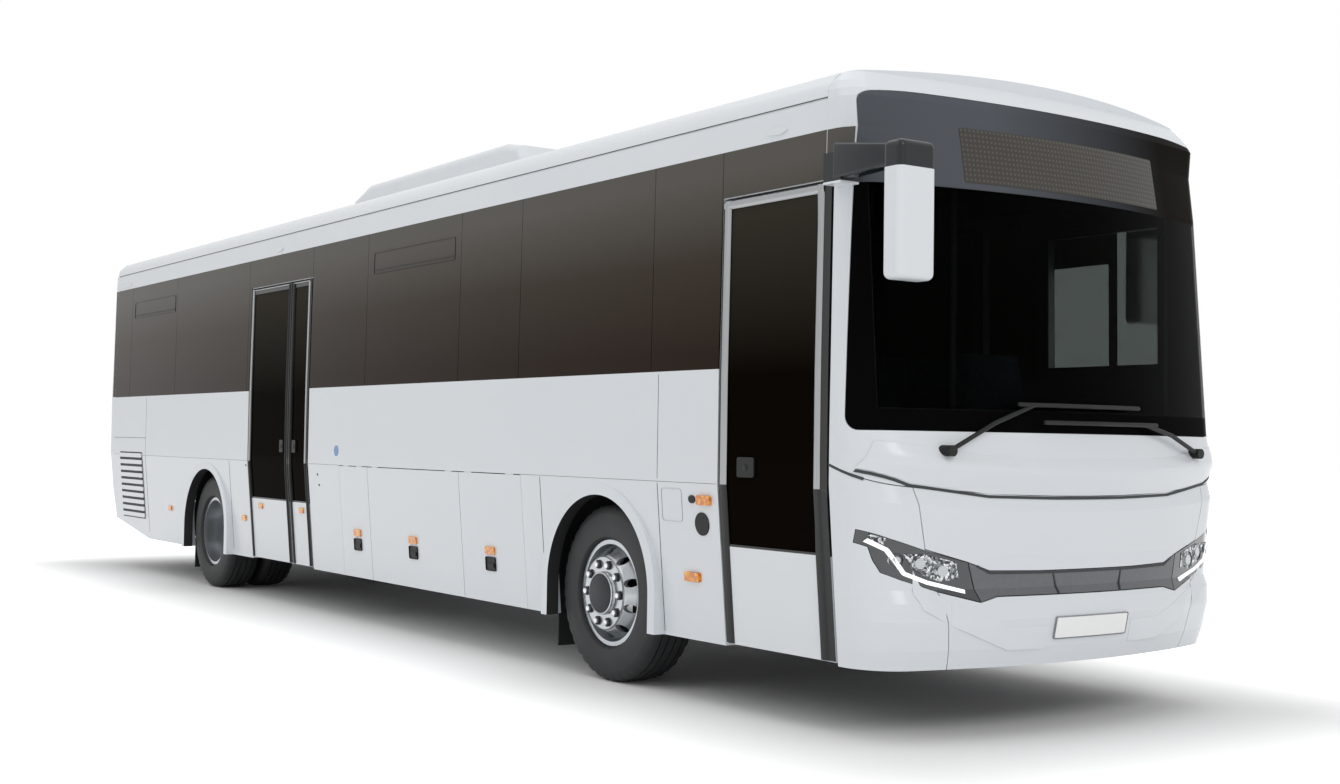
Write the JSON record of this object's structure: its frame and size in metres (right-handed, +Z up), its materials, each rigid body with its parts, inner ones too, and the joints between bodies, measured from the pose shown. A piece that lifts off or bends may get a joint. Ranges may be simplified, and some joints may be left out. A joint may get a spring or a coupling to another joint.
{
  "type": "coach bus",
  "caption": "White two-axle coach with folding-arm passenger doors, luggage flaps, tinted glazing, steered front wheels, twin rear wheels and a fitted passenger cabin.",
  "frame": {"origin": "on the ground under the middle of the coach's overall length, on its middle plane", "axes": "+X forward along the coach, +Y to its left, +Z up; wheels stand on z = 0"},
  "size_m": [12.2342, 2.95, 3.3999],
  "materials": {
    "white_paint": "gloss clear coat",
    "white_plastic": "gloss",
    "tinted_glass": "dark brown tint",
    "lamp_glass": "clear",
    "arch_rubber": "satin",
    "flap_rubber": "matte",
    "tyre_rubber": "matte",
    "wheel_chrome": "polished",
    "door_aluminium": "brushed",
    "arm_steel": "brushed",
    "cast_steel": "painted black",
    "chassis_black": "satin",
    "cast_engine": "matte",
    "floor_covering": "matte",
    "bay_sheet": "satin",
    "grille_plastic": "metallic grey",
    "red_lamp": "gloss",
    "amber_lamp": "gloss",
    "black_plastic": "matte",
    "dash_plastic": "matte",
    "seat_fabric": "woven"
  },
  "bodies": {
    "coach": {"chassis_frame": "chassis_black", "engine_block": "cast_engine", "front_axle": "chassis_black", "rear_axle": "chassis_black", "floor_deck": "floor_covering", "step_wells": "floor_covering", "wheel_boxes": "chassis_black", "luggage_bays": "bay_sheet", "wall_right": "white_paint", "wall_left": "white_paint", "roof_shell": "white_paint", "roof_unit": "white_plastic", "glazing_right": "tinted_glass", "glazing_left": "tinted_glass", "arch_trims": "arch_rubber", "front_frame": "white_paint", "front_mask": "white_paint", "front_corners": "white_paint", "front_bumper": "white_paint", "front_centre_panel": "white_paint", "grille_bar": "grille_plastic", "headlamps": "lamp_glass", "windscreen": "tinted_glass", "rear_mask": "white_paint", "rear_glass": "tinted_glass", "tail_lamps": "red_lamp", "side_lamps": "amber_lamp", "mirrors": "white_plastic", "wipers": "black_plastic", "dashboard": "dash_plastic", "steering_wheel": "black_plastic", "driver_seat": "seat_fabric", "passenger_seats": "seat_fabric", "mudflaps": "flap_rubber"},
    "front_door_arms": {"front_door_arms": "arm_steel"},
    "front_door": {"front_door_leaf": "door_aluminium", "front_door_glass": "tinted_glass"},
    "mid_door_rear_arms": {"mid_door_rear_arms": "arm_steel"},
    "mid_door_rear": {"mid_door_rear_leaf": "door_aluminium", "mid_door_rear_glass": "tinted_glass"},
    "mid_door_front_arms": {"mid_door_front_arms": "arm_steel"},
    "mid_door_front": {"mid_door_front_leaf": "door_aluminium", "mid_door_front_glass": "tinted_glass"},
    "flap_right_rear": {"flap_right_rear": "white_paint"},
    "flap_right_middle": {"flap_right_middle": "white_paint"},
    "flap_right_front": {"flap_right_front": "white_paint"},
    "flap_left_rear": {"flap_left_rear": "white_paint"},
    "flap_left_front": {"flap_left_front": "white_paint"},
    "engine_lid": {"engine_lid": "white_paint"},
    "steering_right": {"knuckle_right": "cast_steel"},
    "steering_left": {"knuckle_left": "cast_steel"},
    "wheel_front_right": {"rim_front_right": "wheel_chrome", "tyre_front_right": "tyre_rubber"},
    "wheel_front_left": {"rim_front_left": "wheel_chrome", "tyre_front_left": "tyre_rubber"},
    "wheel_rear_right": {"rim_rear_right": "wheel_chrome", "tyre_rear_right": "tyre_rubber"},
    "wheel_rear_left": {"rim_rear_left": "wheel_chrome", "tyre_rear_left": "tyre_rubber"}
  },
  "joints": [
    {"name": "steer_right", "type": "hinge", "parent": "coach", "child": "steering_right", "pos_m": [3.495, -0.9, 0.5], "axis": [0, 0, 1], "range_deg": [-40, 40]},
    {"name": "steer_left", "type": "hinge", "parent": "coach", "child": "steering_left", "pos_m": [3.495, 0.9, 0.5], "axis": [0, 0, 1], "range_deg": [-40, 40]},
    {"name": "spin_front_right", "type": "hinge", "parent": "steering_right", "child": "wheel_front_right", "pos_m": [3.495, -1.05, 0.5], "axis": [0, 1, 0], "continuous": true},
    {"name": "spin_front_left", "type": "hinge", "parent": "steering_left", "child": "wheel_front_left", "pos_m": [3.495, 1.05, 0.5], "axis": [0, 1, 0], "continuous": true},
    {"name": "spin_rear_right", "type": "hinge", "parent": "coach", "child": "wheel_rear_right", "pos_m": [-3.045, -1.05, 0.5], "axis": [0, 1, 0], "continuous": true},
    {"name": "spin_rear_left", "type": "hinge", "parent": "coach", "child": "wheel_rear_left", "pos_m": [-3.045, 1.05, 0.5], "axis": [0, 1, 0], "continuous": true},
    {"name": "front_door_swing", "type": "hinge", "parent": "coach", "child": "front_door_arms", "pos_m": [5.415, -1.1, 1.6], "axis": [0, 0, 1], "range_deg": [0, 120]},
    {"name": "front_door_keep", "type": "hinge", "parent": "front_door_arms", "child": "front_door", "pos_m": [4.915, -1.1, 1.6], "axis": [0, 0, 1], "range_deg": [-120, 0]},
    {"name": "mid_door_rear_swing", "type": "hinge", "parent": "coach", "child": "mid_door_rear_arms", "pos_m": [-1.91, -1.1, 1.6], "axis": [0, 0, -1], "range_deg": [0, 120]},
    {"name": "mid_door_rear_keep", "type": "hinge", "parent": "mid_door_rear_arms", "child": "mid_door_rear", "pos_m": [-1.45, -1.1, 1.6], "axis": [0, 0, -1], "range_deg": [-120, 0]},
    {"name": "mid_door_front_swing", "type": "hinge", "parent": "coach", "child": "mid_door_front_arms", "pos_m": [-0.77, -1.1, 1.6], "axis": [0, 0, 1], "range_deg": [0, 120]},
    {"name": "mid_door_front_keep", "type": "hinge", "parent": "mid_door_front_arms", "child": "mid_door_front", "pos_m": [-1.005, -1.1, 1.6], "axis": [0, 0, 1], "range_deg": [-120, 0]},
    {"name": "flap_right_rear_lift", "type": "hinge", "parent": "coach", "child": "flap_right_rear", "pos_m": [0.155, -1.276, 1.1465], "axis": [-1, 0, 0], "range_deg": [0, 90]},
    {"name": "flap_right_middle_lift", "type": "hinge", "parent": "coach", "child": "flap_right_middle", "pos_m": [1.115, -1.276, 1.1465], "axis": [-1, 0, 0], "range_deg": [0, 90]},
    {"name": "flap_right_front_lift", "type": "hinge", "parent": "coach", "child": "flap_right_front", "pos_m": [2.225, -1.276, 1.1465], "axis": [-1, 0, 0], "range_deg": [0, 90]},
    {"name": "flap_left_rear_lift", "type": "hinge", "parent": "coach", "child": "flap_left_rear", "pos_m": [0.545, 1.276, 1.1465], "axis": [1, 0, 0], "range_deg": [0, 90]},
    {"name": "flap_left_front_lift", "type": "hinge", "parent": "coach", "child": "flap_left_front", "pos_m": [1.915, 1.276, 1.1465], "axis": [1, 0, 0], "range_deg": [0, 90]},
    {"name": "engine_lid_lift", "type": "hinge", "parent": "coach", "child": "engine_lid", "pos_m": [-6.116, 0, 1.5565], "axis": [0, 1, 0], "range_deg": [0, 75]}
  ],
  "couplings": [
    {"joint": "steer_left", "follows": "steer_right", "ratio": 1},
    {"joint": "front_door_keep", "follows": "front_door_swing", "ratio": -1},
    {"joint": "mid_door_rear_keep", "follows": "mid_door_rear_swing", "ratio": -1},
    {"joint": "mid_door_front_keep", "follows": "mid_door_front_swing", "ratio": -1}
  ]
}
